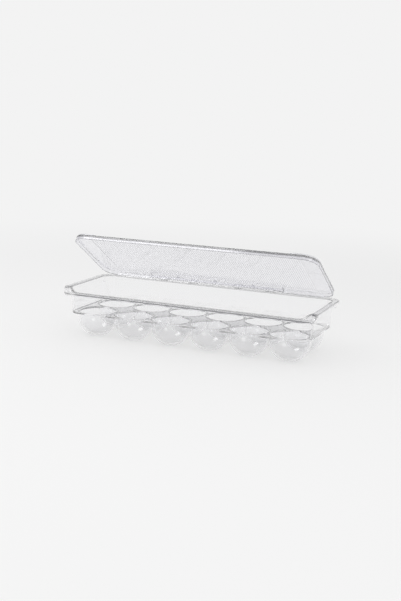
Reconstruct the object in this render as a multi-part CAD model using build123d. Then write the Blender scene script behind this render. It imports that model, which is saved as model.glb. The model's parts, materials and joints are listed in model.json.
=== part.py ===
"""Two-row egg keeper with a flip lid, in clear plastic.

Frame: X along the length, -Y the front, +Y the hinge side, Z up. The origin is under the
middle of the tray, on the plane that its twelve cups stand on. The lid is drawn closed and
then turned about the hinge axis to the angle it rests at.
"""
from build123d import *
import math
import os

# ---- driving dimensions, in millimetres and degrees ----
# egg places
cup_columns = 6
cup_rows = 2
cup_pitch = 49.0
cup_bore_radius = 22.4
cup_wall = 1.6
cup_foot_radius = 7.0
cup_height = 28.2

# deck that joins the cups
deck_thickness = 1.6
deck_end_margin = 4.0
deck_side_margin = 0.5
deck_corner = 14.0
deck_edge_round = 0.5

# wall round the deck
wall_thickness = 1.8
wall_draft = 4.16
tray_height = 60.0

# flange round the top of the wall, lower along the front
end_flange = 5.55
rim_corner = 15.0
rim_thickness = 1.8
rim_bead_height = 2.8
rim_bead_width = 1.6
front_drop = 6.0
step_start = 3.2
step_length = 12.0

# webs under the end flanges
web_thickness = 1.6
web_from_side = 12.2
web_height = 7.5
web_setback = 1.8
web_slope = 1.7

# ridge along the back flange
rail_thickness = 2.2
rail_height = 5.5
rail_clearance = 0.72
rail_from_end = 17.25
rail_ramp = 21.0

# hinge
bar_radius = 1.7
bar_clearance = 0.05
clip_wall = 1.45
clip_width = 10.0
clip_mouth = 66.0
clip_near = 30.0
clip_far = 70.0
hinge_inset = 1.2
arm_width = 3.0

# lid
lid_end_inset = 0.2
lid_front_reach = 0.1
lid_back_overhang = 1.7
lid_corner = 18.0
lid_thickness = 1.6
lid_height = 5.7
lid_seat_gap = 0.3
lid_edge_round = 1.0
lid_heel_depth = 2.7
lid_heel_lift = 0.5
heel_length = 66.0
notch_depth = 5.7
catch_length = 36.0
catch_from_end = 61.0
catch_height = 2.5
catch_depth = 0.8
lid_rest_angle = 33.0

# ridges on the lid's corners, which locate a keeper stacked on top
ridge_inset = 0.8
ridge_width = 1.8
ridge_height = 1.6
ridge_tail = 16.0
ridge_round = 0.5
ridge_back_gap = 3.0

# ribs on the underside of the lid
rib_pitch = 2.6
rib_width = 1.2
rib_height = 0.5
rib_end_margin = 20.0
rib_side_margin = 1.5
rib_panel_corner = 8.0

# ---- places that follow from them ----
through = 1.0
deck_top = cup_height + deck_thickness
cup_outer_radius = cup_bore_radius + cup_wall
bowl_centre_z = math.sqrt(cup_outer_radius**2 - cup_foot_radius**2)
deck_half_length = (cup_columns - 1) / 2 * cup_pitch + cup_outer_radius + deck_end_margin
deck_half_depth = (cup_rows - 1) / 2 * cup_pitch + cup_outer_radius + deck_side_margin
wall_lean = math.tan(math.radians(wall_draft))
wall_growth = wall_lean * (tray_height - deck_top)
wall_half_length = deck_half_length + wall_growth
wall_half_depth = deck_half_depth + wall_growth
wall_top_corner = deck_corner + wall_growth
clip_bore_radius = bar_radius + bar_clearance
clip_radius = clip_bore_radius + clip_wall
hinge_y = wall_half_depth - hinge_inset
hinge_z = tray_height + clip_radius
hinge_axis = Axis((0, hinge_y, hinge_z), (-1, 0, 0))
lid_bottom_z = tray_height + lid_seat_gap
lid_top_z = lid_bottom_z + lid_height
lid_under_z = lid_top_z - lid_thickness
lid_swing = math.hypot(lid_back_overhang, lid_top_z - hinge_z)
rim_half_length = wall_half_length + end_flange
rim_half_depth = hinge_y + lid_swing + rail_clearance + rail_thickness
front_z = tray_height - front_drop
rail_foot = rim_half_length - rail_from_end
lid_half_length = wall_half_length - lid_end_inset
lid_front_y = -rim_half_depth - lid_front_reach
lid_back_y = hinge_y + lid_back_overhang
lid_middle_y = (lid_front_y + lid_back_y) / 2
notch_half_length = lid_half_length - heel_length
notch_y = lid_back_y - notch_depth
clip_places = (-clip_far, -clip_near, clip_near, clip_far)
arm_from_middle = (clip_near + clip_far) / 2


def block(x0: float, x1: float, y0: float, y1: float, z0: float, z1: float) -> Part:
    """Box between two corners."""
    return Pos(x0, y0, z0) * Box(x1 - x0, y1 - y0, z1 - z0, align=Align.MIN)


def rounded_slab(half_length: float, half_depth: float, corner: float,
                 low: float, high: float) -> Part:
    """Upright prism on a round-cornered outline."""
    outline = RectangleRounded(2 * half_length, 2 * half_depth, corner)
    return Pos(0, 0, low) * extrude(outline, high - low)


def cup_centres() -> list[tuple[float, float]]:
    """Middles of the egg places, front row first, left to right."""
    xs = [(i - (cup_columns - 1) / 2) * cup_pitch for i in range(cup_columns)]
    ys = [(j - (cup_rows - 1) / 2) * cup_pitch for j in range(cup_rows)]
    return [(x, y) for y in ys for x in xs]


def bowl_arc(radius: float, floor_z: float) -> Edge:
    """Arc of a bowl from its flat floor up to its widest circle."""
    sweep = math.degrees(math.asin((bowl_centre_z - floor_z) / radius))
    return CenterArc((0, bowl_centre_z), radius, -sweep, sweep)


def make_cup(x: float, y: float) -> Part:
    """Round-bottomed cup on a flat foot, straight above its widest circle."""
    outside = bowl_arc(cup_outer_radius, 0)
    inside = bowl_arc(cup_bore_radius, cup_wall)
    lip = Polyline(outside @ 1, (cup_outer_radius, cup_height),
                   (cup_bore_radius, cup_height), inside @ 1)
    foot = Polyline(inside @ 0, (0, cup_wall), (0, 0), outside @ 0)
    profile = make_face([outside, lip, inside, foot])
    return Pos(x, y, 0) * revolve(Plane.XZ * profile, Axis.Z)


def make_deck() -> Part:
    """Plate with a hole over each cup, its lower outer edge rounded."""
    deck = rounded_slab(deck_half_length, deck_half_depth, deck_corner, cup_height, deck_top)
    deck = fillet(deck.faces().sort_by(Axis.Z)[0].edges(), deck_edge_round)
    for x, y in cup_centres():
        deck -= Pos(x, y, cup_height + deck_thickness / 2) * Cylinder(
            cup_bore_radius, deck_thickness + 2 * through)
    return deck


def wall_plug(inset: float, low: float, high: float) -> Part:
    """Solid with the wall's draft, its sides set in from the wall's outer face."""
    sections = []
    for z in (low, high):
        grow = wall_lean * (z - deck_top) - inset
        sections.append(Pos(0, 0, z) * RectangleRounded(
            2 * (deck_half_length + grow), 2 * (deck_half_depth + grow), deck_corner + grow))
    return loft(sections, ruled=True)


def under_rim(drop: float) -> Part:
    """Everything below the flange's stepped top, lowered by drop.

    The top is level along the front, climbs in two tangent arcs at the front corners and is
    level again round the ends and the back.
    """
    bend = (step_length**2 + front_drop**2) / (4 * front_drop)
    low, high = front_z - drop, tray_height - drop
    reach = rim_half_depth + through
    y0 = step_start - rim_half_depth
    y1 = y0 + step_length
    turn = math.degrees(math.asin(step_length / 2 / bend))
    foot = CenterArc((y0, low + bend), bend, -90, turn)
    head = CenterArc((y1, high - bend), bend, 90 + turn, -turn)
    ends = Polyline(head @ 1, (reach, high), (reach, 0), (-reach, 0), (-reach, low), foot @ 0)
    profile = make_face([foot, head, ends])
    length = 2 * (rim_half_length + through)
    return Pos(-length / 2, 0, 0) * extrude(Plane.YZ * profile, length)


def make_wall() -> Part:
    """Leaning wall that stands on the deck and ends under the flange."""
    wall = wall_plug(0, deck_top, tray_height)
    wall -= wall_plug(wall_thickness, deck_top - through, tray_height + through)
    return wall & under_rim(rim_thickness)


def make_rim() -> Part:
    """Stepped flange with a thicker bead along its outer edge."""
    tall = tray_height + through
    outer = rounded_slab(rim_half_length, rim_half_depth, rim_corner, 0, tall)
    inner = rounded_slab(wall_half_length - wall_thickness, wall_half_depth - wall_thickness,
                         wall_top_corner - wall_thickness, 0, tall)
    core = rounded_slab(rim_half_length - rim_bead_width, rim_half_depth - rim_bead_width,
                        rim_corner - rim_bead_width, 0, tall)
    top = under_rim(0)
    flange = (outer - inner) & (top - under_rim(rim_thickness))
    bead = (outer - core) & (top - under_rim(rim_bead_height))
    return flange + bead


def make_web(side: int, row: int) -> Part:
    """Upright web that carries an end flange on the wall."""
    tip = rim_half_length - web_setback
    base = tray_height - rim_thickness - web_height
    shape = Polyline((deck_half_length - deck_corner, base), (tip - web_slope, base),
                     (tip, tray_height), (deck_half_length - deck_corner, tray_height), close=True)
    web = extrude(Plane.XZ * make_face(shape), web_thickness / 2, both=True)
    web = Pos(0, row * (rim_half_depth - web_from_side), 0) * web
    web = (web & under_rim(rim_thickness)) - wall_plug(0, deck_top, tray_height)
    return web if side > 0 else mirror(web, Plane.YZ)


def make_rail() -> Part:
    """Ridge along the back flange, ramped at both ends."""
    crest = rail_foot - rail_ramp
    top = tray_height + rail_height
    shape = Polyline((-rail_foot, tray_height), (rail_foot, tray_height), (crest, top),
                     (-crest, top), close=True)
    return Pos(0, rim_half_depth, 0) * extrude(Plane.XZ * make_face(shape), rail_thickness)


def make_clip(x: float) -> Part:
    """Open-topped clip that the lid's bar snaps into."""
    ring = Circle(clip_radius)
    seat = wall_thickness - hinge_inset
    ring += Pos((clip_radius - seat) / 2, -clip_radius / 2) * Rectangle(
        clip_radius + seat, clip_radius)
    half = math.radians(clip_mouth / 2)
    reach = 2 * clip_radius
    mouth = Polyline((0, 0), (reach * math.tan(half), reach), (-reach * math.tan(half), reach),
                     close=True)
    profile = ring - Circle(clip_bore_radius) - make_face(mouth)
    clip = extrude(Plane.YZ * profile, clip_width / 2, both=True)
    return Pos(x, hinge_y, hinge_z) * clip


def open_lid(shape: Part) -> Part:
    """Turn a piece of the closed lid to the angle that the lid rests at."""
    return shape.rotate(hinge_axis, lid_rest_angle)


def lid_outline() -> Sketch:
    """Lid seen from above, with the hinge notch in its back edge."""
    depth = lid_back_y - lid_front_y
    outline = Pos(0, lid_middle_y) * RectangleRounded(2 * lid_half_length, depth, lid_corner)
    notch = Pos(0, notch_y + notch_depth) * Rectangle(2 * notch_half_length, 2 * notch_depth)
    return outline - notch


def make_lid_cover() -> Part:
    """Flat cover whose skirt follows its outline, with two catches inside the front skirt."""
    cover = Pos(0, 0, lid_bottom_z) * extrude(lid_outline(), lid_height)
    cover = fillet(cover.faces().sort_by(Axis.Z)[-1].edges(), lid_edge_round)
    hollow = offset(lid_outline(), -lid_thickness, kind=Kind.INTERSECTION)
    cover -= Pos(0, 0, lid_bottom_z - through) * extrude(hollow, lid_height - lid_thickness + through)
    heel_y = lid_back_y - lid_heel_depth
    cover -= block(-lid_half_length, lid_half_length, heel_y, lid_back_y + through,
                   lid_bottom_z - through, lid_bottom_z + lid_heel_lift)
    skirt_y = lid_front_y + lid_thickness
    catch_z = (lid_bottom_z + lid_under_z) / 2
    catch_x = lid_half_length - catch_from_end
    for x in (-catch_x, catch_x):
        cover += block(x - catch_length / 2, x + catch_length / 2, skirt_y, skirt_y + catch_depth,
                       catch_z - catch_height / 2, catch_z + catch_height / 2)
    return open_lid(cover)


def make_hinge_bar() -> Part:
    """Round bar across the notch, carried by the notch's cheeks and by short arms."""
    bar = Pos(0, hinge_y, hinge_z) * Rot(0, 90, 0) * Cylinder(bar_radius, 2 * notch_half_length)
    for x in (-arm_from_middle, 0, arm_from_middle):
        bar += block(x - arm_width / 2, x + arm_width / 2, notch_y, hinge_y, hinge_z, lid_top_z)
    return open_lid(bar)


def make_ridge(side: int, row: int) -> Part:
    """Low ridge round one corner of the cover, with a tail along each edge.

    The ridges at the back stop short of the hinge, so that they swing clear of the rail.
    """
    half_depth = (lid_back_y - lid_front_y) / 2
    bands = []
    for inset in (ridge_inset, ridge_inset + ridge_width):
        bands.append(RectangleRounded(2 * (lid_half_length - inset), 2 * (half_depth - inset),
                                      lid_corner - inset))
    ridge = Pos(0, lid_middle_y, lid_top_z) * extrude(bands[0] - bands[1], ridge_height)
    ridge = fillet(ridge.faces().sort_by(Axis.Z)[-1].edges(), ridge_round)
    keep = lid_corner + ridge_tail
    x0, x1 = lid_half_length - keep, lid_half_length
    y0, y1 = lid_front_y, lid_front_y + keep
    if row > 0:
        y0, y1 = lid_back_y - keep, hinge_y - ridge_back_gap
    ridge &= block(x0, x1, y0, y1, lid_top_z, lid_top_z + ridge_height)
    return open_lid(ridge if side > 0 else mirror(ridge, Plane.YZ))


def make_lid_ribs() -> Compound:
    """Fine ribs from front to back on the underside of the cover.

    The ribs near each end are shorter, so that the ribbed panel has round corners.
    """
    reach = lid_half_length - rib_end_margin
    count = 2 * int(reach / rib_pitch) + 1
    front = lid_front_y + lid_thickness + rib_side_margin
    back = notch_y - lid_thickness - rib_side_margin
    panel_end = (count - 1) / 2 * rib_pitch
    ribs = []
    for i in range(count):
        x = (i - (count - 1) / 2) * rib_pitch
        past = max(0, abs(x) - panel_end + rib_panel_corner)
        cut = rib_panel_corner - math.sqrt(rib_panel_corner**2 - past**2)
        ribs.append(block(x - rib_width / 2, x + rib_width / 2, front + cut, back - cut,
                          lid_under_z - rib_height, lid_under_z))
    return open_lid(Compound(children=ribs))


def save(name: str, shape: Part | Compound) -> None:
    """Write one node."""
    export_step(shape, f"parts/{name}.step")


def build() -> None:
    """Make every node of the keeper."""
    os.makedirs("parts", exist_ok=True)
    rows = ("front", "rear")
    for index, (x, y) in enumerate(cup_centres()):
        row, column = divmod(index, cup_columns)
        save(f"egg_cup_{rows[row]}_{column + 1}", make_cup(x, y))
    save("tray_deck", make_deck())
    save("tray_wall", make_wall())
    save("tray_rim", make_rim())
    for side, end in ((-1, "left"), (1, "right")):
        for row, place in ((-1, "front"), (1, "rear")):
            save(f"flange_web_{end}_{place}", make_web(side, row))
    save("hinge_rail", make_rail())
    for index, x in enumerate(clip_places):
        save(f"hinge_clip_{index + 1}", make_clip(x))
    save("lid_cover", make_lid_cover())
    for side, end in ((-1, "left"), (1, "right")):
        for row, place in ((-1, "front"), (1, "rear")):
            save(f"stacking_ridge_{end}_{place}", make_ridge(side, row))
    save("lid_hinge_bar", make_hinge_bar())
    save("lid_ribs", make_lid_ribs())


build()
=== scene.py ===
"""Clear egg keeper with a flip lid: the looks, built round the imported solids.

Lengths are in metres, in the frame of the solids: X along the keeper, -Y the front, +Y the
hinge side and Z up. The tray and the lid are each one clear moulding. Their skins are grids
of points worked out with numpy, and small parts such as the clips are swept or extruded.
The lid is worked out shut, and then turned about the hinge to the angle it rests at.
"""
import json
import logging
import math
from collections.abc import Iterator
from contextlib import contextmanager
from dataclasses import dataclass
from enum import Enum

import bmesh
import bpy
import numpy as np
from mathutils import Matrix, Vector


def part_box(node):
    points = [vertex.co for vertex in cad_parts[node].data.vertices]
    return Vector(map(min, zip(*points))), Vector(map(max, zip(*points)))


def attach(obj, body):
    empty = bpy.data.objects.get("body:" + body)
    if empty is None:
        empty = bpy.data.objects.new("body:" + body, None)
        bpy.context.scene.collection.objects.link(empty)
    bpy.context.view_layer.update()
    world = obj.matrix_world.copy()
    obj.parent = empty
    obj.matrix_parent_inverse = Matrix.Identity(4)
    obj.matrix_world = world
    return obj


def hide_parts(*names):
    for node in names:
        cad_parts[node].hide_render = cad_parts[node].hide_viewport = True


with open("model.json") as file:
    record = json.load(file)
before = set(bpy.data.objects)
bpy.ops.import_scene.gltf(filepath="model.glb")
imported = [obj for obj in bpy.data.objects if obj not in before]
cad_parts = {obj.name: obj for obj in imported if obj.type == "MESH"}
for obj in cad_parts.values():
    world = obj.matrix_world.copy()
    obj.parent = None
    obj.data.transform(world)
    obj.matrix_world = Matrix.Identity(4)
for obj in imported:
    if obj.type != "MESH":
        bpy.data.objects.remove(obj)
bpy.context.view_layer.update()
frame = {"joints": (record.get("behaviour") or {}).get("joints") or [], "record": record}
log = logging.getLogger("egg_keeper")
MM = 0.001
SHARP_ANGLE = math.radians(38)
ROUND_SEGMENTS = 2
Value = bpy.types.Node | bpy.types.NodeSocket | float | tuple[float, ...]


class End(Enum):
    """Ends of the keeper, with the sign of X there."""

    LEFT = -1
    RIGHT = 1


class Row(Enum):
    """Rows of cups and of corners, with the sign of Y there."""

    FRONT = -1
    REAR = 1


class Body(Enum):
    """Bodies that the pieces ride on."""

    TRAY = "tray"
    LID = "lid"


# ---------------------------------------------------------------- curves


def smooth_step(x: np.ndarray, start: float, end: float) -> np.ndarray:
    """Cubic ease from 0 at start to 1 at end: 3t^2 - 2t^3.

    Args:
        x: Places to work the ease out at.
        start: Place where the ease leaves 0.
        end: Place where the ease reaches 1.

    Returns:
        Values between 0 and 1, in the shape of x.
    """
    t = np.clip((x - start) / (end - start), 0, 1)
    return t * t * (3 - 2 * t)


def quarter(count: int) -> np.ndarray:
    """Quarter of a unit circle, as (1 - cos, sin) of angles from 0 to 90 degrees.

    Args:
        count: Number of points, both ends counted.

    Returns:
        One row for each point: how far the curve has come in, and how far it has risen.
    """
    angle = np.linspace(0, math.pi / 2, count)
    return np.stack([1 - np.cos(angle), np.sin(angle)], -1)


def shares(count: int) -> np.ndarray:
    """Even shares of a way: 1 / count, 2 / count and so on up to 1."""
    return np.arange(1, count + 1) / count


def outline_points(station: np.ndarray, half_x: np.ndarray | float, half_y: np.ndarray | float,
                   radius: np.ndarray | float, middle_y: float = 0.0) -> np.ndarray:
    """Points round a rectangle with round corners, anticlockwise from the front left.

    The whole part of a station names one of eight stretches, straight ones even and corner
    arcs odd, and its fraction says how far along the stretch the point is. A point is the
    centre of a corner plus the radius times (cos, sin) of an angle. Along an arc the angle
    turns by 90 degrees, and along a straight stretch the centre slides instead.

    Args:
        station: Stations from 0 to 8.
        half_x: Half the rectangle's length, one value or one for each station.
        half_y: Half its depth.
        radius: Radius of its corners.
        middle_y: Y of its middle.

    Returns:
        Array of X and Y, one row for each station.
    """
    stretch = np.floor(station).astype(int) % 8
    t = station - np.floor(station)
    quarter_turn = (stretch // 2) * math.pi / 2
    is_arc = stretch % 2 == 1
    angle = quarter_turn - math.pi / 2 + np.where(is_arc, t * math.pi / 2, 0)
    core_x = half_x - radius
    core_y = half_y - radius
    side = stretch // 2
    sign_x = np.choose(side, [1.0, 1.0, -1.0, -1.0])
    sign_y = np.choose(side, [-1.0, 1.0, 1.0, -1.0])
    x = core_x * sign_x
    y = core_y * sign_y
    slide_x = np.choose(side, [2.0, 0.0, -2.0, 0.0]) * core_x * (t - 1)
    slide_y = np.choose(side, [0.0, 2.0, 0.0, -2.0]) * core_y * (t - 1)
    x = x + np.where(is_arc, 0, slide_x)
    y = y + np.where(is_arc, 0, slide_y)
    return np.stack([x + radius * np.cos(angle), y + radius * np.sin(angle) + middle_y], -1)


# ---------------------------------------------------------------- meshes


@contextmanager
def editing(mesh: bpy.types.Mesh) -> Iterator[bmesh.types.BMesh]:
    """Open a mesh for editing, and write it back afterwards.

    Args:
        mesh: Mesh to edit.

    Yields:
        Its working copy.
    """
    work = bmesh.new()
    work.from_mesh(mesh)
    yield work
    work.to_mesh(mesh)
    work.free()


class Skin:
    """Patches of surface that are welded into one closed mesh."""

    weld: float = 2e-6
    flatness: float = 1e-5

    def __init__(self) -> None:
        """Start with no patches."""
        self.points: list[np.ndarray] = []
        self.quads: list[np.ndarray] = []
        self.count = 0

    def add(self, grid: np.ndarray, wraps: bool = False) -> None:
        """Add a patch, whose faces join each point to its neighbours in the grid.

        Args:
            grid: Points in rows and columns, with X, Y and Z last.
            wraps: Whether the last column joins the first.
        """
        rows, columns = grid.shape[:2]
        row, column = np.meshgrid(np.arange(rows - 1), np.arange(columns - (not wraps)),
                                  indexing="ij")
        after = (column + 1) % columns
        quads = np.stack([row * columns + column, row * columns + after,
                          (row + 1) * columns + after, (row + 1) * columns + column], -1)
        self.points.append(grid.reshape(-1, 3))
        self.quads.append(quads.reshape(-1, 4) + self.count)
        self.count += rows * columns

    def object(self, name: str, flats: tuple[float, ...] = ()) -> bpy.types.Object:
        """Weld the patches, close flat openings and make the object.

        Args:
            name: Name of the piece.
            flats: Heights of level openings, each of which is filled with triangles.

        Returns:
            The object, linked to the scene, its faces pointing outwards.
        """
        points = np.concatenate(self.points)
        quads = np.concatenate(self.quads)
        mesh = bpy.data.meshes.new(name)
        mesh.from_pydata(points.tolist(), [], quads.tolist())
        with editing(mesh) as work:
            bmesh.ops.remove_doubles(work, verts=work.verts, dist=self.weld)
            bmesh.ops.dissolve_degenerate(work, edges=work.edges, dist=self.weld)
            for height in flats:
                rim = [edge for edge in work.edges if edge.is_boundary
                       and all(abs(end.co.z - height) < self.flatness for end in edge.verts)]
                bmesh.ops.triangle_fill(work, edges=rim, use_beauty=True, use_dissolve=False)
            bmesh.ops.recalc_face_normals(work, faces=work.faces)
            open_edges = sum(not edge.is_manifold for edge in work.edges)
        if open_edges:
            log.warning("%s has %d open edges", name, open_edges)
        return link(name, mesh)


def link(name: str, mesh: bpy.types.Mesh) -> bpy.types.Object:
    """Make an object of a mesh and link it to the scene.

    Args:
        name: Name of the piece.
        mesh: Its mesh.

    Returns:
        The object, at the origin.
    """
    piece = bpy.data.objects.new(name, mesh)
    bpy.context.scene.collection.objects.link(piece)
    return piece


def prism(name: str, profile: np.ndarray, along: int, low: float, high: float) -> bpy.types.Object:
    """Extrude a flat outline along one axis.

    Args:
        name: Name of the piece.
        profile: Corners of the outline in the two other axes, in their usual order.
        along: Axis to extrude along, 0 for X, 1 for Y or 2 for Z.
        low: Where the extrusion starts on that axis.
        high: Where it ends.

    Returns:
        The object, closed at both ends.
    """
    count = len(profile)
    points = np.concatenate([np.insert(profile, along, low, axis=1),
                             np.insert(profile, along, high, axis=1)])
    here = np.arange(count)
    after = (here + 1) % count
    sides = np.stack([here, after, after + count, here + count], -1).tolist()
    mesh = bpy.data.meshes.new(name)
    caps = [here[::-1].tolist(), (here + count).tolist()]
    mesh.from_pydata(points.tolist(), [], sides + caps)
    with editing(mesh) as work:
        bmesh.ops.recalc_face_normals(work, faces=work.faces)
    return link(name, mesh)


def weigh_upper_edges(mesh: bpy.types.Mesh, above: float) -> None:
    """Give each edge the bevel weight 1 where its higher end is above a height, and else 0.

    Args:
        mesh: Mesh whose edges are weighed.
        above: The height.
    """
    points = np.empty(3 * len(mesh.vertices), np.float32)
    mesh.vertices.foreach_get("co", points)
    ends = np.empty(2 * len(mesh.edges), np.int32)
    mesh.edges.foreach_get("vertices", ends)
    higher = points[2::3][ends.reshape(-1, 2)].max(axis=1)
    weight = mesh.attributes.new("bevel_weight_edge", "FLOAT", "EDGE")
    weight.data.foreach_set("value", (higher > above).astype(np.float32))


def soften(piece: bpy.types.Object, width: float = 0.0, above: float | None = None) -> None:
    """Shade a piece smooth, and round its sharp edges where a width is given.

    Args:
        piece: Piece to finish.
        width: Width of the rounding, or 0 for none.
        above: Height that an edge has to pass to be rounded, or None for every sharp edge.
    """
    piece.data.shade_smooth()
    piece.data.set_sharp_from_angle(angle=SHARP_ANGLE)
    if width:
        bevel = piece.modifiers.new("edge_round", "BEVEL")
        bevel.width = width
        bevel.segments = ROUND_SEGMENTS
        bevel.limit_method = "ANGLE" if above is None else "WEIGHT"
        bevel.angle_limit = SHARP_ANGLE
        if above is not None:
            weigh_upper_edges(piece.data, above)
    weighted = piece.modifiers.new("even_shading", "WEIGHTED_NORMAL")
    weighted.keep_sharp = True


def settle(piece: bpy.types.Object, body: Body, finish: bpy.types.Material, slot: str,
           *nodes: str) -> None:
    """Dress a piece and place it on its body.

    Args:
        piece: Piece to settle.
        body: Body that it rides on.
        finish: Its material.
        slot: Name of the record's slot for its finish; not used.
        nodes: CAD nodes that it stands for.
    """
    piece.data.materials.append(finish)
    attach(piece, body.value)
    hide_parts(*nodes)
    log.info("%s: %d faces, rides on %s, stands for %d nodes",
             piece.name, len(piece.data.polygons), body.value, len(nodes))


# ---------------------------------------------------------------- finishes


def grey(level: float) -> tuple[float, float, float, float]:
    """Colour with one level of red, green and blue."""
    return (level, level, level, 1.0)


def feed_node(tree: bpy.types.NodeTree, node: bpy.types.Node,
              inputs: dict[str | int, Value]) -> None:
    """Put numbers, colours, sockets or other nodes' first outputs into a node.

    Args:
        tree: Tree that the node is in.
        node: Node to feed.
        inputs: What goes in, by the name or the number of each input.
    """
    for name, value in inputs.items():
        if isinstance(value, bpy.types.Node):
            value = value.outputs[0]
        if isinstance(value, bpy.types.NodeSocket):
            tree.links.new(value, node.inputs[name])
        else:
            node.inputs[name].default_value = value


def add_node(tree: bpy.types.NodeTree, kind: str, inputs: dict[str | int, Value] | None = None,
             **settings: object) -> bpy.types.Node:
    """Add a shader node and feed it.

    Args:
        tree: Tree that it joins.
        kind: Its type, without the word ShaderNode.
        inputs: What goes in, by the name or the number of each input.
        settings: Its other settings, such as the operation of a Math node.

    Returns:
        The node.
    """
    node = tree.nodes.new("ShaderNode" + kind)
    for setting, value in settings.items():
        setattr(node, setting, value)
    feed_node(tree, node, inputs or {})
    return node


@dataclass(frozen=True)
class MouldedFlow:
    """Faint unevenness of a polished moulding.

    Two sizes of noise on object coordinates make shallow waves from the flow of the plastic
    and the fine haze that handling leaves.
    """

    wave_size: float = 40.0
    wave_detail: float = 1.0
    wave_relief: float = 0.2 * MM
    haze_size: float = 300.0
    haze_detail: float = 4.0

    def group(self) -> bpy.types.NodeTree:
        """Build the node group.

        Returns:
            Group with inputs Wave Size, Wave Depth, Haze and Haze Size, of which each material
            gives the depth and the haze. It puts out Roughness, which is the haze times its
            noise, and Normal, bumped by the waves.
        """
        group = bpy.data.node_groups.new("moulded_flow", "ShaderNodeTree")
        for name, value in (("Wave Size", self.wave_size), ("Wave Depth", 0.0), ("Haze", 0.0),
                            ("Haze Size", self.haze_size)):
            socket = group.interface.new_socket(name, in_out="INPUT",
                                                socket_type="NodeSocketFloat")
            socket.default_value = value
        for name, kind in (("Roughness", "NodeSocketFloat"), ("Normal", "NodeSocketVector")):
            group.interface.new_socket(name, in_out="OUTPUT", socket_type=kind)
        given = group.nodes.new("NodeGroupInput").outputs
        place = add_node(group, "TexCoord").outputs["Object"]
        wave = add_node(group, "TexNoise", {"Vector": place, "Scale": given["Wave Size"],
                                            "Detail": self.wave_detail})
        haze = add_node(group, "TexNoise", {"Vector": place, "Scale": given["Haze Size"],
                                            "Detail": self.haze_detail})
        bump = add_node(group, "Bump", {"Height": wave, "Strength": given["Wave Depth"],
                                        "Distance": self.wave_relief})
        rough = add_node(group, "Math", {0: haze, 1: given["Haze"]}, operation="MULTIPLY")
        feed_node(group, group.nodes.new("NodeGroupOutput"), {"Roughness": rough, "Normal": bump})
        return group


@dataclass(frozen=True)
class ClearPlastic:
    """Polished clear plastic, whose edges look darker as light goes further inside them.

    A length d of plastic lets through e^(-absorption * d) of every colour, with d in metres.
    """

    name: str
    tint: tuple[float, float, float]
    absorption: float
    index: float = 1.53
    wave_depth: float = 0.03
    haze: float = 0.03
    shadow: float = 0.96
    deepest: float = 14.5

    def material(self, flow: bpy.types.NodeTree) -> bpy.types.Material:
        """Build the material.

        Args:
            flow: Node group for the unevenness of the moulding.

        Returns:
            The material. It is clear to shadow and diffuse rays, so that its shadow stays
            light, and to rays that have bounced more often than the deepest allowed.
        """
        material = bpy.data.materials.new(self.name)
        material.use_nodes = True
        tree = material.node_tree
        uneven = add_node(tree, "Group", {"Wave Depth": self.wave_depth, "Haze": self.haze},
                          node_tree=flow).outputs
        shader = tree.nodes["Principled BSDF"]
        feed_node(tree, shader, {
            "Base Color": (*self.tint, 1), "Metallic": 0.0, "Transmission Weight": 1.0,
            "IOR": self.index, "Roughness": uneven["Roughness"], "Normal": uneven["Normal"]})
        clear = add_node(tree, "BsdfTransparent", {"Color": grey(self.shadow)})
        path = add_node(tree, "LightPath").outputs
        soft = add_node(tree, "Math", {0: path["Is Shadow Ray"], 1: path["Is Diffuse Ray"]},
                        operation="MAXIMUM")
        deep = add_node(tree, "Math", {0: path["Ray Depth"], 1: self.deepest},
                        operation="GREATER_THAN")
        straight = add_node(tree, "Math", {0: soft, 1: deep}, operation="MAXIMUM")
        surface = add_node(tree, "MixShader", {0: straight, 1: shader, 2: clear})
        inside = add_node(tree, "VolumeAbsorption", {"Color": grey(0), "Density": self.absorption})
        feed_node(tree, tree.nodes["Material Output"], {"Surface": surface, "Volume": inside})
        return material


# ---------------------------------------------------------------- tray


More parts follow.
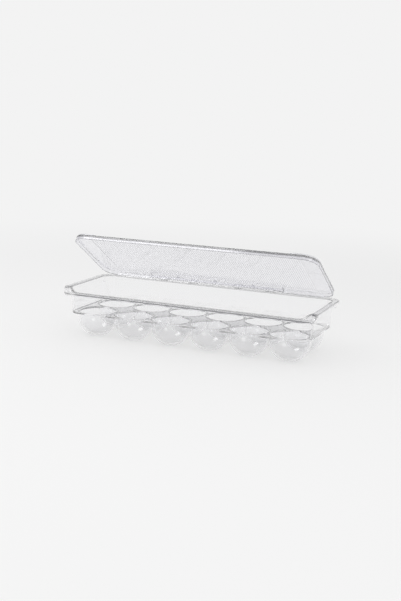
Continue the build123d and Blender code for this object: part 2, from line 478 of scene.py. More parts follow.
@dataclass
class Tray:
    """Tray moulding: twelve cups, their deck, the leaning wall and the stepped flange.

    Its sizes come first, and the counts of points and rows that its surfaces use come last.
    """

    finish: bpy.types.Material
    slot: str = "clear_tray"
    columns: int = 6
    pitch: float = 49 * MM
    cup_wall: float = 1.6 * MM
    foot_radius: float = 7 * MM
    mouth_round: float = 1.2 * MM
    least_round: float = 0.1 * MM
    round_share: float = 0.4
    deck_corner: float = 14 * MM
    deck_edge_round: float = 0.3 * MM
    wall_thickness: float = 1.8 * MM
    wall_lean: float = math.tan(math.radians(4.16))
    wall_foot_round: float = 1.5 * MM
    rim_corner: float = 15 * MM
    rim_thickness: float = 1.8 * MM
    rim_inner_round: float = 0.5 * MM
    rim_outer_round: float = 0.8 * MM
    bead_height: float = 2.8 * MM
    bead_width: float = 1.6 * MM
    bead_round: float = 0.5 * MM
    front_drop: float = 6 * MM
    step_start: float = 3.2 * MM
    step_length: float = 12 * MM
    web_setback: float = 1.8 * MM
    web_slope: float = 1.7 * MM
    rail_ramp: float = 21 * MM
    rail_round: float = 0.5 * MM
    edge_round: float = 0.25 * MM
    clip_mouth: float = 66.0
    bar_radius: float = 1.7 * MM
    bar_clearance: float = 0.05 * MM
    hinge_inset: float = 1.2 * MM
    sunk: float = 0.06 * MM
    along_cup: int = 16
    along_corner: int = 14
    along_end: int = 14
    bowl_points: int = 16
    round_points: int = 5
    foot_points: int = 4
    wall_rows: int = 7
    flange_rows: int = 4
    under_rows: int = 3
    clip_front_points: int = 7
    clip_rear_points: int = 14
    clip_bore_points: int = 24

    def __post_init__(self) -> None:
        """Read the places that the solids fix."""
        deck_low, deck_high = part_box("tray_deck")
        rim_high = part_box("tray_rim")[1]
        cup_low, cup_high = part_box("egg_cup_front_1")
        self.deck_half = (deck_high.x, deck_high.y)
        self.deck_under = deck_low.z
        self.deck_top = deck_high.z
        self.rim_half = (rim_high.x, rim_high.y)
        self.rim_top = rim_high.z
        self.cup_radius = (cup_high.x - cup_low.x) / 2
        self.bore_radius = self.cup_radius - self.cup_wall
        self.bowl_z = math.sqrt(self.cup_radius**2 - self.foot_radius**2)

    def top_height(self, y: np.ndarray) -> np.ndarray:
        """Height of the flange's top: low in front, then two tangent arcs up to the back.

        Each arc takes half the step. It rises by R - sqrt(R^2 - t^2) at t from its level end,
        where R is (length^2 + drop^2) / (4 * drop).

        Args:
            y: Y of the points.

        Returns:
            Z of the flange's top at each point.
        """
        bend = (self.step_length**2 + self.front_drop**2) / (4 * self.front_drop)
        start = self.step_start - self.rim_half[1]
        t = np.clip(y - start, 0, self.step_length)
        rise = bend - np.sqrt(bend**2 - np.minimum(t, self.step_length - t)**2)
        climb = np.where(t < self.step_length / 2, rise, self.front_drop - rise)
        return self.rim_top - self.front_drop + climb

    def stations(self) -> np.ndarray:
        """Stations round the tray, with one on every border between two cups.

        Each stretch is split evenly, and the second half of the way round repeats the first,
        four stations on.

        Returns:
            Stations from 0 up to 8.
        """
        reach = self.deck_half[0] - self.deck_corner
        inner = self.pitch * (np.arange(self.columns - 1) - (self.columns - 2) / 2)
        borders = np.concatenate([[-reach], inner, [reach]])
        share = np.arange(self.along_cup) / self.along_cup
        places = borders[:-1, None] + np.diff(borders)[:, None] * share
        long_side = (places.ravel() + reach) / (2 * reach)
        corner = np.arange(self.along_corner) / self.along_corner
        end = np.arange(2 * self.along_end) / (2 * self.along_end)
        quarter_turn = [long_side, 1 + corner, 2 + end, 3 + corner]
        return np.concatenate(quarter_turn + [4 + s for s in quarter_turn])

    def wall_ring(self, inset: np.ndarray | float, z: np.ndarray | float) -> np.ndarray:
        """Outline of the leaning wall at a height.

        Args:
            inset: How far inside the outer face the outline lies.
            z: Height. The wall leans out by its slope times the height over the deck.

        Returns:
            X and Y at each station.
        """
        grow = self.wall_lean * np.maximum(z - self.deck_top, 0) - inset
        return outline_points(self.stations(), self.deck_half[0] + grow,
                              self.deck_half[1] + grow, self.deck_corner + grow)

    def rim_ring(self, inset: float) -> np.ndarray:
        """Outline of the flange, set in from its outer edge."""
        return outline_points(self.stations(), self.rim_half[0] - inset,
                              self.rim_half[1] - inset, self.rim_corner - inset)

    def cup_centres(self) -> np.ndarray:
        """Middles of the front row's cups, left to right, as X and Y."""
        x = (np.arange(self.columns) - (self.columns - 1) / 2) * self.pitch
        return np.stack([x, np.full(self.columns, -self.pitch / 2)], -1)

    def cell_loop(self, ring: np.ndarray, column: int) -> np.ndarray:
        """Border of the deck round one front cup, anticlockwise.

        Args:
            ring: Outer border of the deck, at every station.
            column: Which cup, from the left.

        Returns:
            X and Y round the cup: its stretch of the outer border, then the lines that it
            shares with the cups beside and behind it.
        """
        count = len(ring)
        first = column * self.along_cup
        last = first + self.along_cup
        if column == self.columns - 1:
            last += self.along_corner + self.along_end
        if column == 0:
            first -= self.along_corner + self.along_end
        outer = ring[np.arange(first, last + 1) % count]
        steps = np.linspace(0, 1, self.along_cup + 1)[:, None]
        near, far = outer[-1], outer[0]
        near_middle = np.array([near[0], 0.0])
        far_middle = np.array([far[0], 0.0])
        parts = [outer[:-1]]
        if column < self.columns - 1:
            parts.append((near + (near_middle - near) * steps)[:-1])
        parts.append((near_middle + (far_middle - near_middle) * steps)[:-1])
        if column > 0:
            parts.append((far_middle + (far - far_middle) * steps)[:-1])
        return np.concatenate(parts)

    def cup_patch(self, centre: np.ndarray, loop: np.ndarray, radius: float, floor_z: float,
                  deck_z: float) -> np.ndarray:
        """Skin of one cup, from the middle of its floor to the border of its part of the deck.

        Rays run from the cup's middle to each point of the border. Along a ray the skin is a
        level floor, an arc of the bowl, a straight neck, a quarter round that is never wider
        than a share of the deck there, and the level deck.

        Args:
            centre: X and Y of the cup's middle.
            loop: Border of the deck round it.
            radius: Radius of the bowl.
            floor_z: Height of the floor.
            deck_z: Height of the deck.

        Returns:
            Grid of points, one row for each place along the rays.
        """
        ray = loop - centre
        reach = np.linalg.norm(ray, axis=1)
        ray = ray / reach[:, None]
        edge = np.clip(self.round_share * (reach - radius), self.least_round, self.mouth_round)
        flat = math.acos((self.bowl_z - floor_z) / radius)
        angle = np.linspace(flat, math.pi / 2, self.bowl_points)[:, None]
        inward, risen = quarter(self.round_points).T[..., None]
        deck = shares(2)[:, None]
        whole = np.ones_like(reach)
        out = [0 * whole[None], radius * np.sin(angle) * whole, radius + inward * edge,
               radius + edge + (reach - radius - edge) * deck]
        up = [floor_z * whole[None], (self.bowl_z - radius * np.cos(angle)) * whole,
              deck_z - edge + risen * edge, deck_z * whole * np.ones_like(deck)]
        distance = np.concatenate(out)
        flat_points = centre + distance[..., None] * ray
        return np.concatenate([flat_points, np.concatenate(up)[..., None]], -1)

    def skin_rings(self) -> tuple[np.ndarray, np.ndarray, np.ndarray]:
        """Skin outside the deck: up the inner wall, over the flange and down the outer wall.

        On the wall a row is the deck's outline, moved out by the lean times its height over
        the deck. On the flange a row lies a drop below the flange's top at its own Y. Every
        round is a quarter circle, (1 - cos, sin) times its radius.

        Returns:
            Grid of points, and the borders that the deck's upper and lower faces end at.
        """
        rows: list[np.ndarray] = []

        def row(flat: np.ndarray, z: np.ndarray | float) -> None:
            """Add a ring of points at its height."""
            rows.append(np.column_stack([flat, np.broadcast_to(z, len(flat))]))

        def flange_row(flat: np.ndarray, drop: float) -> None:
            """Add a ring of points at a drop below the flange's top."""
            row(flat, self.top_height(flat[:, 1]) - drop)

        thick = self.wall_thickness
        rounding = quarter(self.round_points)
        foot = self.wall_ring(thick, self.deck_top)
        cups = self.cup_centres()
        cups = np.concatenate([cups, -cups])
        gap = np.linalg.norm(foot[:, None] - cups[None], axis=2).min(axis=1) - self.bore_radius
        foot_round = np.clip(self.round_share * gap, self.least_round, self.wall_foot_round)
        for up, out in rounding:
            row(self.wall_ring(thick + foot_round * (1 - out), self.deck_top),
                self.deck_top + foot_round * up)
        start = self.deck_top + foot_round
        top = self.top_height(self.wall_ring(thick, self.rim_top)[:, 1])
        for share in shares(self.wall_rows):
            z = start + (top - self.rim_inner_round - start) * share
            row(self.wall_ring(thick, z), z)
        for out, up in rounding[1:]:
            flange_row(self.wall_ring(thick - self.rim_inner_round * out, top),
                       self.rim_inner_round * (1 - up))
        inner = self.wall_ring(thick - self.rim_inner_round, top)
        outer = self.rim_ring(self.rim_outer_round)
        for share in shares(self.flange_rows):
            flange_row(inner + (outer - inner) * share, 0)
        for up, out in rounding[1:]:
            flange_row(self.rim_ring(self.rim_outer_round * (1 - out)),
                       self.rim_outer_round * up)
        for out, up in rounding:
            flange_row(self.rim_ring(self.bead_round * out),
                       self.bead_height - self.bead_round * (1 - up))
        outer = self.rim_ring(self.bead_width)
        for under in (self.bead_height, self.rim_thickness):
            flange_row(outer, under)
        top = self.top_height(self.wall_ring(0, self.rim_top)[:, 1]) - self.rim_thickness
        inner = self.wall_ring(0, top)
        for share in 1 - shares(self.under_rows):
            flange_row(inner + (outer - inner) * share, self.rim_thickness)
        top = self.top_height(inner[:, 1]) - self.rim_thickness
        for share in 1 - shares(self.wall_rows):
            z = self.deck_top + (top - self.deck_top) * share
            row(self.wall_ring(0, z), z)
        for out, up in quarter(self.foot_points):
            row(self.wall_ring(self.deck_edge_round * out, self.deck_top),
                self.deck_under + self.deck_edge_round * (1 - up))
        return np.stack(rows), rows[0][:, :2], rows[-1][:, :2]

    def shell(self) -> bpy.types.Object:
        """Make the cups, deck, wall and flange as one closed skin.

        The front row's cups are worked out, and half a turn about Z gives the rear row's.

        Returns:
            The moulding.
        """
        skin = Skin()
        rings, upper, lower = self.skin_rings()
        skin.add(rings, wraps=True)
        half_turn = np.array([-1.0, -1.0, 1.0])
        for column, centre in enumerate(self.cup_centres()):
            for ring, radius, floor_z, deck_z in (
                    (upper, self.bore_radius, self.cup_wall, self.deck_top),
                    (lower, self.cup_radius, 0.0, self.deck_under)):
                patch = self.cup_patch(centre, self.cell_loop(ring, column), radius, floor_z,
                                       deck_z)
                skin.add(patch, wraps=True)
                skin.add(patch * half_turn, wraps=True)
        piece = skin.object("tray_moulding")
        soften(piece)
        return piece

    def web(self, name: str, end: End, row: Row) -> bpy.types.Object:
        """Make one web under an end flange.

        Its root leans as the wall does, and its tip slopes in towards the foot.

        Args:
            name: CAD node that it stands for.
            end: Which end of the keeper.
            row: Front or rear web.

        Returns:
            The web, its root sunk a little into the wall and the flange.
        """
        low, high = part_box(name)
        tip = self.rim_half[0] - self.web_setback
        base = low.z
        top = self.top_height(np.array([low.y, high.y])).min() - self.rim_thickness + self.sunk
        at_tip = tip - self.web_slope * (self.rim_top - top) / (self.rim_top - base)
        roots = [self.deck_half[0] + self.wall_lean * (z - self.deck_top) - self.sunk
                 for z in (base, top)]
        profile = np.array([(roots[0], base), (tip - self.web_slope, base), (at_tip, top),
                            (roots[1], top)]) * (end.value, 1)
        piece = prism(name + "_clear", profile, 1, low.y, high.y)
        soften(piece, self.edge_round)
        return piece

    def rail(self) -> bpy.types.Object:
        """Make the ridge along the back flange, ramped down at both ends.

        Returns:
            The ridge, its foot sunk a little into the flange.
        """
        low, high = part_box("hinge_rail")
        foot, crest = high.x, high.x - self.rail_ramp
        root = low.z - self.sunk
        profile = np.array([(-foot, root), (foot, root), (crest, high.z), (-crest, high.z)])
        piece = prism("hinge_rail_clear", profile, 1, low.y, high.y)
        soften(piece, self.rail_round, above=low.z)
        return piece

    def clip(self, name: str, hinge: np.ndarray) -> bpy.types.Object:
        """Make one open-topped clip.

        The outline is an outer arc, a square foot and a bore, open at the top.

        Args:
            name: CAD node that it stands for.
            hinge: Y and Z of the hinge axis.

        Returns:
            The clip, its foot sunk a little into the flange.
        """
        low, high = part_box(name)
        bore = self.bar_radius + self.bar_clearance
        outer = hinge[1] - low.z
        seat = self.wall_thickness - self.hinge_inset
        mouth = math.radians(self.clip_mouth / 2)
        foot = -outer - self.sunk
        top = math.pi / 2

        def arc(radius: float, start: float, end: float, count: int) -> np.ndarray:
            """Points of an arc, the radius times (cos, sin) of angles from start to end."""
            angle = np.linspace(start, end, count)
            return radius * np.column_stack([np.cos(angle), np.sin(angle)])

        profile = np.concatenate([
            arc(outer, top - mouth, 0, self.clip_front_points),
            [(outer, foot), (-seat, foot)],
            arc(outer, 2 * math.pi - math.acos(-seat / outer), top + mouth,
                self.clip_rear_points),
            arc(bore, top + mouth, top + 2 * math.pi - mouth, self.clip_bore_points)])
        piece = prism(name + "_clear", hinge + profile, 0, low.x, high.x)
        soften(piece, self.edge_round)
        return piece

    def build(self, hinge: np.ndarray) -> None:
        """Make every piece of the tray and settle it.

        Args:
            hinge: Y and Z of the hinge axis.
        """
        nodes = frame["record"]["behaviour"]["bodies"]["tray"]
        cups = [n for n in nodes if n.startswith("egg_cup")]
        settle(self.shell(), Body.TRAY, self.finish, self.slot,
               "tray_deck", "tray_wall", "tray_rim", *cups)
        for end in End:
            for row in Row:
                name = f"flange_web_{end.name.lower()}_{row.name.lower()}"
                settle(self.web(name, end, row), Body.TRAY, self.finish, self.slot, name)
        settle(self.rail(), Body.TRAY, self.finish, self.slot, "hinge_rail")
        for name in (n for n in nodes if n.startswith("hinge_clip")):
            settle(self.clip(name, hinge), Body.TRAY, self.finish, self.slot, name)


# ---------------------------------------------------------------- lid


@dataclass
class Lid:
    """Lid moulding: a flat cover with a skirt, fine ribs inside, corner ridges and a bar.

    Its sizes come first, and the counts of points and spans that its surfaces use come last.
    """

    finish: bpy.types.Material
    hinge: np.ndarray
    rest_angle: float
    slot: str = "clear_lid"
    front_reach: float = 0.1 * MM
    back_overhang: float = 1.7 * MM
    seat_gap: float = 0.3 * MM
    height: float = 5.7 * MM
    corner: float = 18 * MM
    thickness: float = 1.6 * MM
    top_round: float = 1.0 * MM
    skirt_round: float = 0.6 * MM
    inner_round: float = 1.3 * MM
    heel_depth: float = 2.7 * MM
    heel_lift: float = 0.5 * MM
    heel_run: float = 1.5 * MM
    notch_depth: float = 5.7 * MM
    catch_from_end: float = 61 * MM
    catch_half: float = 18 * MM
    catch_rows: tuple[float, float, float, float] = (0.04, 0.15, 0.85, 0.96)
    catch_depth: float = 0.8 * MM
    catch_ease: float = 0.15 * MM
    rib_pitch: float = 2.6 * MM
    rib_width: float = 1.2 * MM
    rib_height: float = 0.2 * MM
    rib_corner: float = 8 * MM
    rib_margin: float = 1.5 * MM
    rib_end: float = 0.012
    bar_radius: float = 1.7 * MM
    arm_width: float = 3 * MM
    arm_middle: float = 50 * MM
    arm_slope: float = 1.5 * MM
    edge_round: float = 0.25 * MM
    ridge_inset: float = 0.8 * MM
    ridge_width: float = 1.8 * MM
    ridge_height: float = 1.6 * MM
    ridge_tail: float = 16 * MM
    ridge_ease: float = 6 * MM
    ridge_back_gap: float = 3 * MM
    ridge_shoulder: float = 0.55
    ridge_least: float = 0.02
    sunk: float = 0.06 * MM
    front_spans: int = 80
    corner_spans: int = 16
    side_spans: int = 24
    heel_spans: int = 12
    cheek_spans: int = 3
    notch_spans: int = 44
    large_points: int = 6
    small_points: int = 5
    rib_steps: int = 8
    bar_points: int = 32
    ridge_points: int = 9
    tail_spans: int = 8

    def __post_init__(self) -> None:
        """Read the places that the solids and the hinge fix, for the lid when shut."""
        rim_low, rim_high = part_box("tray_rim")
        self.half_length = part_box("lid_cover")[1].x
        self.notch_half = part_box("lid_hinge_bar")[1].x
        self.panel_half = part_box("lid_ribs")[1].x + (self.rib_pitch - self.rib_width) / 2
        self.front_y = rim_low.y - self.front_reach
        self.back_y = self.hinge[0] + self.back_overhang
        self.notch_y = self.back_y - self.notch_depth
        self.bottom_z = rim_high.z + self.seat_gap
        self.top_z = self.bottom_z + self.height
        self.catch_middle = self.half_length - self.catch_from_end

    def opened(self, points: np.ndarray) -> np.ndarray:
        """Turn points of the shut lid to the angle it rests at.

        About the hinge, y' = y cos a + z sin a and z' = -y sin a + z cos a.

        Args:
            points: Array with X, Y and Z last.

        Returns:
            The points, turned about the hinge axis.
        """
        cos, sin = math.cos(self.rest_angle), math.sin(self.rest_angle)
        y = points[..., 1] - self.hinge[0]
        z = points[..., 2] - self.hinge[1]
        return np.stack([points[..., 0], self.hinge[0] + y * cos + z * sin,
                         self.hinge[1] - y * sin + z * cos], -1)

    def turn_open(self, piece: bpy.types.Object) -> bpy.types.Object:
        """Turn a finished mesh of the shut lid to the angle it rests at.

        Args:
            piece: Piece of the lid, whose mesh is turned in place.

        Returns:
            The same piece.
        """
        count = len(piece.data.vertices)
        points = np.empty(count * 3, np.float32)
        piece.data.vertices.foreach_get("co", points)
        turned = self.opened(points.reshape(-1, 3).astype(float))
        piece.data.vertices.foreach_set("co", turned.astype(np.float32).ravel())
        piece.data.update()
        return piece

    def outline(self) -> tuple[np.ndarray, np.ndarray]:
        """Outline of the lid from above, with the hinge notch in its back edge.

        It is a rectangle with round corners, whose back edge steps forward by the notch's
        depth. A catch starts and ends between two points that lie close together.

        Returns:
            X and Y of each point, and how far it moves when the outline grows by one.
        """
        reach = self.half_length - self.corner
        edges = np.array([side * (self.catch_middle + way * self.catch_half)
                          for side in (-1, 1) for way in (-1, 1)])
        front = np.sort(np.concatenate([np.linspace(-reach, reach, self.front_spans + 1),
                                        edges - self.catch_ease, edges + self.catch_ease]))
        corner = shares(self.corner_spans)[:-1]
        side = np.linspace(0, 1, self.side_spans + 1)
        right = np.concatenate([(front + reach) / (2 * reach), 1 + corner, 2 + side, 3 + corner])
        left = np.concatenate([5 + corner, 6 + side, 7 + corner])
        heel = np.linspace(reach, self.notch_half, self.heel_spans + 1)[:-1]
        cheek = np.linspace(self.back_y, self.notch_y, self.cheek_spans + 1)[:-1]
        across = np.linspace(self.notch_half, -self.notch_half, self.notch_spans + 1)
        back = np.concatenate([np.column_stack([heel, np.full_like(heel, self.back_y)]),
                               np.column_stack([np.full_like(cheek, self.notch_half), cheek])])
        back_growth = np.tile([0.0, 1.0], (len(back), 1))
        back_growth[len(heel):] = (-1, 0)
        back_growth[len(heel)] = (-1, 1)
        notch = np.column_stack([across, np.full_like(across, self.notch_y)])
        notch_growth = np.tile([0.0, 1.0], (len(notch), 1))
        notch_growth[[0, -1]] = ((-1, 1), (1, 1))
        mirror = (-1, 1)
        return (np.concatenate([self.rounded(right), back, notch, back[::-1] * mirror,
                                self.rounded(left)]),
                np.concatenate([self.growth(right), back_growth, notch_growth,
                                back_growth[::-1] * mirror, self.growth(left)]))

    def rounded(self, station: np.ndarray, inset: float = 0.0) -> np.ndarray:
        """Points round the lid's outline without its notch, set in from the edge.

        Args:
            station: Stations from 0 to 8.
            inset: How far inside the edge the points lie.

        Returns:
            X and Y at each station.
        """
        return outline_points(station, self.half_length - inset,
                              (self.back_y - self.front_y) / 2 - inset, self.corner - inset,
                              (self.front_y + self.back_y) / 2)

    def growth(self, station: np.ndarray) -> np.ndarray:
        """How far each point of that outline moves when the outline grows by one."""
        return (self.rounded(station) - self.rounded(station, MM)) / MM

    def cover(self) -> bpy.types.Object:
        """Make the cover, its skirt, its two catches and its ribs as one closed skin.

        A row of points is the outline less an inset times its growth. The rows go round the
        top edge, round the skirt's foot, up inside it over the catches, and round onto the
        underside. Every round is a quarter circle, (1 - cos, sin) times its radius.

        Returns:
            The cover, turned to the angle it rests at.
        """
        base, growth = self.outline()
        under_z = self.top_z - self.thickness
        heel_y = self.back_y - self.heel_depth
        heel = smooth_step(base[:, 1], heel_y - self.heel_run, heel_y)
        low = self.bottom_z + self.heel_lift * heel
        from_catch = np.abs(np.abs(base[:, 0]) - self.catch_middle)
        bump = self.catch_depth * ((from_catch < self.catch_half) & (base[:, 1] < 0))
        rows: list[np.ndarray] = []

        def row(inset: np.ndarray | float, z: np.ndarray | float) -> None:
            """Add the outline, set in, at its height."""
            inset = np.broadcast_to(inset, len(base))[:, None]
            rows.append(np.column_stack([base - inset * growth, np.broadcast_to(z, len(base))]))

        large, small = quarter(self.large_points), quarter(self.small_points)
        for up, out in large:
            row(self.top_round * (1 - out), self.top_z - self.top_round * up)
        for out, up in small:
            row(self.skirt_round * out, low + self.skirt_round * (1 - up))
        for up, out in small:
            row(self.thickness - self.skirt_round * (1 - out), low + self.skirt_round * up)
        foot = low + self.skirt_round
        for share, out in zip(self.catch_rows, (0, 1, 1, 0)):
            row(self.thickness + bump * out, foot + share * (under_z - self.inner_round - foot))
        for out, up in large:
            row(self.thickness + self.inner_round * out, under_z - self.inner_round * (1 - up))
        skin = Skin()
        skin.add(np.stack(rows), wraps=True)
        skin.add(self.rib_field(under_z))
        piece = skin.object("lid_moulding", flats=(self.top_z, under_z))
        soften(piece)
        return self.turn_open(piece)

    def rib_field(self, under_z: float) -> np.ndarray:
        """Ribbed panel on the underside, with round corners.

        Across a rib the height is a raised cosine; along it the height is level and eases
        to nothing at both ends. Near the panel's ends the ribs grow shorter along a quarter
        circle.

        Args:
            under_z: Height of the cover's underside.

        Returns:
            Grid of points, one column for each place along the keeper.
        """
        half = self.panel_half
        count = round(2 * half / self.rib_pitch)
        x = np.linspace(-half, half, count * self.rib_steps + 1)
        height = self.rib_height * (1 - np.cos(2 * np.pi * (x + half) / self.rib_pitch)) / 2
        past = np.clip(np.abs(x) - (half - self.rib_corner), 0, self.rib_corner)
        shorter = self.rib_corner - np.sqrt(self.rib_corner**2 - past**2)
        front = self.front_y + self.thickness + self.rib_margin + shorter
        back = self.notch_y - self.thickness - self.rib_margin - shorter
        end = self.rib_end
        ends = np.array([0, end / 2, end])
        v = np.concatenate([ends, shares(4)[:-1], 1 - ends[::-1]])[:, None]
        level = smooth_step(v, 0, end) * smooth_step(1 - v, 0, end)
        y = front + (back - front) * v
        return np.stack([np.broadcast_to(x, y.shape), y, under_z - height * level], -1)

    def bar(self) -> bpy.types.Object:
        """Make the round bar across the notch and the three short arms that carry it.

        The bar's section is its radius times (cos, sin), and an arm is a five-sided block.

        Returns:
            The bar and its arms, turned to the angle that the lid rests at.
        """
        turn = 2 * math.pi * np.arange(self.bar_points) / self.bar_points
        circle = self.hinge + self.bar_radius * np.column_stack([np.cos(turn), np.sin(turn)])
        reach = self.notch_half + self.sunk
        piece = prism("lid_hinge_bar_clear", circle, 0, -reach, reach)
        root = self.notch_y - self.sunk
        bar_y, bar_z = self.hinge
        arm = np.array([(root, bar_z), (bar_y, bar_z), (bar_y, bar_z + self.bar_radius),
                        (bar_y - self.arm_slope, self.top_z), (root, self.top_z)])
        half = self.arm_width / 2
        with editing(piece.data) as work:
            for middle in (-self.arm_middle, 0, self.arm_middle):
                block = prism("arm", arm, 0, middle - half, middle + half)
                work.from_mesh(block.data)
                bpy.data.meshes.remove(block.data)
        soften(piece, self.edge_round)
        return self.turn_open(piece)

    def ridge(self, name: str, end: End, row: Row) -> bpy.types.Object:
        """Make the low ridge round one corner of the cover.

        A section with upright sides and a half ellipse on top is carried along the corner.
        Its height eases to almost nothing at both ends of the path.

        Args:
            name: CAD node that it stands for.
            end: Which end of the lid.
            row: Front or rear corner.

        Returns:
            The ridge, its foot sunk a little into the cover.
        """
        radius = self.corner - self.ridge_inset - self.ridge_width / 2
        edge_y = self.front_y if row is Row.FRONT else self.back_y
        centre = np.array([self.half_length - self.corner, edge_y - row.value * self.corner])
        turn = math.pi / 2
        if row is Row.REAR:
            turn = math.asin((self.hinge[0] - self.ridge_back_gap - centre[1])
                             / (radius + self.ridge_width / 2))
        angle = np.linspace(0, turn, self.corner_spans + 1)
        round_corner = np.column_stack([np.cos(angle), np.sin(angle)])
        tail = self.ridge_tail * shares(self.tail_spans)
        straight = np.full_like(tail, radius)
        path = [np.column_stack([straight, -tail[::-1]]), radius * round_corner]
        facing = [np.tile([1.0, 0.0], (len(tail), 1)), round_corner]
        if row is Row.FRONT:
            path.append(np.column_stack([-tail, straight]))
            facing.append(np.tile([0.0, 1.0], (len(tail), 1)))
        path, facing = np.concatenate(path), np.concatenate(facing)
        length = np.concatenate([[0], np.cumsum(np.linalg.norm(np.diff(path, axis=0), axis=1))])
        rise = (smooth_step(length, 0, self.ridge_ease)
                * smooth_step(length[-1] - length, 0, self.ridge_ease))
        rise = self.sunk + self.ridge_height * (self.ridge_least + (1 - self.ridge_least) * rise)
        half_turn = np.linspace(0, math.pi, self.ridge_points)
        top = self.ridge_shoulder + (1 - self.ridge_shoulder) * np.sin(half_turn)
        across = np.concatenate([[-1], -np.cos(half_turn), [1]])
        up = np.concatenate([[0], top, [0]])
        section = path[:, None] + facing[:, None] * (across * self.ridge_width / 2)[None, :, None]
        section = centre + section * (1, row.value)
        z = self.top_z - self.sunk + rise[:, None] * up
        points = np.concatenate([section * (end.value, 1), z[..., None]], -1)
        skin = Skin()
        skin.add(points, wraps=True)
        for tip in (0, -1):
            ring = points[tip]
            half = len(ring) // 2 + 1
            skin.add(np.stack([ring[:half], ring[::-1][:half]]))
        piece = skin.object(name + "_clear")
        soften(piece)
        return self.turn_open(piece)

    def build(self) -> None:
        """Make every piece of the lid and settle it."""
        settle(self.cover(), Body.LID, self.finish, self.slot, "lid_cover", "lid_ribs")
        settle(self.bar(), Body.LID, self.finish, self.slot, "lid_hinge_bar")
        for end in End:
            for row in Row:
                name = f"stacking_ridge_{end.name.lower()}_{row.name.lower()}"
                settle(self.ridge(name, end, row), Body.LID, self.finish, self.slot, name)


# ---------------------------------------------------------------- studio


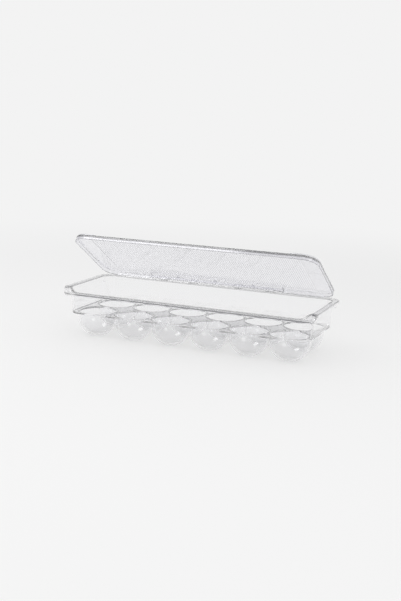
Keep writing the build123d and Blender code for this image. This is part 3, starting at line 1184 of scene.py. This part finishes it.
@dataclass
class Studio:
    """Pale floor, soft light and the camera."""

    background: float = 0.896
    floor_colour: float = 0.9
    floor_roughness: float = 0.9
    floor_specular: float = 0.1
    floor_size: float = 30.0
    fade_start: float = 0.35
    fade_end: float = 1.2
    sky_level: float = 0.85
    sky_fade: tuple[float, float] = (0.14, 0.3)
    sky_top: tuple[float, float, float] = (0.18, 0.18, 0.19)
    azimuth: float = 23.0
    elevation: float = 13.0
    roll: float = 1.6
    distance: float = 1.15
    lens: float = 57.8
    sensor: float = 36.0
    target_z: float = 30 * MM
    shift: tuple[float, float] = (0.0025, 0.0285)
    bounces: int = 24
    clear_bounces: int = 32

    def floor(self) -> None:
        """Make a floor that takes the shadow and fades to the background far away."""
        bpy.ops.mesh.primitive_plane_add(size=self.floor_size)
        floor = bpy.context.object
        floor.name = "studio_floor"
        material = bpy.data.materials.new("studio_floor")
        material.use_nodes = True
        tree = material.node_tree
        shader = tree.nodes["Principled BSDF"]
        feed_node(tree, shader, {
            "Base Color": grey(self.floor_colour), "Roughness": self.floor_roughness,
            "Specular IOR Level": self.floor_specular})
        glow = add_node(tree, "Emission", {"Color": grey(self.background)})
        place = add_node(tree, "TexCoord").outputs["Object"]
        far = add_node(tree, "VectorMath", {0: place}, operation="LENGTH").outputs["Value"]
        fade = add_node(tree, "MapRange", {"Value": far, "From Min": self.fade_start,
                                           "From Max": self.fade_end},
                        interpolation_type="SMOOTHSTEP")
        shown = add_node(tree, "MixShader", {0: fade, 1: shader, 2: glow})
        feed_node(tree, tree.nodes["Material Output"], {"Surface": shown})
        floor.data.materials.append(material)

    def sky(self) -> None:
        """Light from all round, with the pale background where the camera looks into it.

        What the plastic mirrors or bends fades from the background to a dark top, by the
        height of the direction.
        """
        world = bpy.data.worlds.new("studio")
        bpy.context.scene.world = world
        world.use_nodes = True
        tree = world.node_tree
        tree.nodes.clear()
        path = add_node(tree, "LightPath").outputs
        place = add_node(tree, "TexCoord").outputs["Generated"]
        height = add_node(tree, "SeparateXYZ", {0: place}).outputs["Z"]
        ramp = add_node(tree, "ValToRGB", {"Fac": height})
        colours = (grey(self.background), (*self.sky_top, 1))
        for stop, position, colour in zip(ramp.color_ramp.elements, self.sky_fade, colours):
            stop.position = position
            stop.color = colour
        mirrored = add_node(tree, "Background", {"Color": ramp})
        straight = add_node(tree, "Background", {"Color": grey(self.background)})
        light = add_node(tree, "Background", {"Color": grey(self.sky_level)})
        bent = add_node(tree, "Math", {0: path["Is Glossy Ray"], 1: path["Is Transmission Ray"]},
                        operation="MAXIMUM")
        around = add_node(tree, "MixShader", {0: bent, 1: light, 2: mirrored})
        shown = add_node(tree, "MixShader", {0: path["Is Camera Ray"], 1: around, 2: straight})
        add_node(tree, "OutputWorld", {"Surface": shown})

    def lamp(self, name: str, place: tuple[float, float, float], size: float,
             power: float) -> None:
        """Hang one square softbox that faces the keeper.

        Args:
            name: Name of the lamp.
            place: Where it hangs.
            size: Length of its side.
            power: Its power in watts.
        """
        data = bpy.data.lights.new(name, "AREA")
        data.size = size
        data.energy = power
        lamp = bpy.data.objects.new(name, data)
        lamp.location = place
        aim = Vector((0, 0, self.target_z)) - Vector(place)
        lamp.rotation_euler = aim.to_track_quat("-Z", "Y").to_euler()
        bpy.context.scene.collection.objects.link(lamp)

    def camera(self) -> None:
        """Place the camera: azimuth from -Y towards +X, elevation above level, and roll."""
        azimuth, elevation, roll = (math.radians(a) for a in
                                    (self.azimuth, self.elevation, self.roll))
        right = Vector((math.cos(azimuth), math.sin(azimuth), 0))
        ahead = Vector((-math.sin(azimuth) * math.cos(elevation),
                        math.cos(azimuth) * math.cos(elevation), -math.sin(elevation)))
        up = right.cross(ahead)
        rolled_right = math.cos(roll) * right + math.sin(roll) * up
        rolled_up = math.cos(roll) * up - math.sin(roll) * right
        place = Matrix((rolled_right, rolled_up, -ahead)).transposed().to_4x4()
        place.translation = Vector((0, 0, self.target_z)) - self.distance * ahead
        data = bpy.data.cameras.new("camera")
        data.sensor_width = self.sensor
        data.lens = self.lens
        data.shift_x, data.shift_y = self.shift
        camera = bpy.data.objects.new("camera", data)
        camera.matrix_world = place
        bpy.context.scene.collection.objects.link(camera)
        bpy.context.scene.camera = camera

    def build(self) -> None:
        """Set up the whole studio."""
        self.floor()
        self.sky()
        self.lamp("key", place=(-0.8, -0.7, 1.5), size=0.7, power=5.0)
        self.lamp("fill", place=(1.3, -0.6, 1.0), size=0.6, power=2.0)
        self.camera()
        scene = bpy.context.scene
        scene.view_settings.view_transform = "Standard"
        scene.cycles.max_bounces = self.bounces
        scene.cycles.glossy_bounces = self.bounces
        scene.cycles.transmission_bounces = self.bounces
        scene.cycles.transparent_max_bounces = self.clear_bounces


def main() -> None:
    """Build the keeper and its studio."""
    logging.basicConfig(level=logging.INFO, format="%(name)s: %(message)s")
    joint = frame["joints"][0]
    hinge = np.array(joint["pos_m"][1:])
    rest_angle = math.radians(-joint["range_deg"][0])
    flow = MouldedFlow().group()
    tray_plastic = ClearPlastic("clear_tray", tint=(0.985, 0.985, 0.99), absorption=3.5)
    lid_plastic = ClearPlastic("clear_lid", tint=(0.948, 0.946, 0.97), absorption=8.0)
    Tray(tray_plastic.material(flow)).build(hinge)
    Lid(lid_plastic.material(flow), hinge, rest_angle).build()
    Studio().build()


if __name__ == "__main__":
    main()
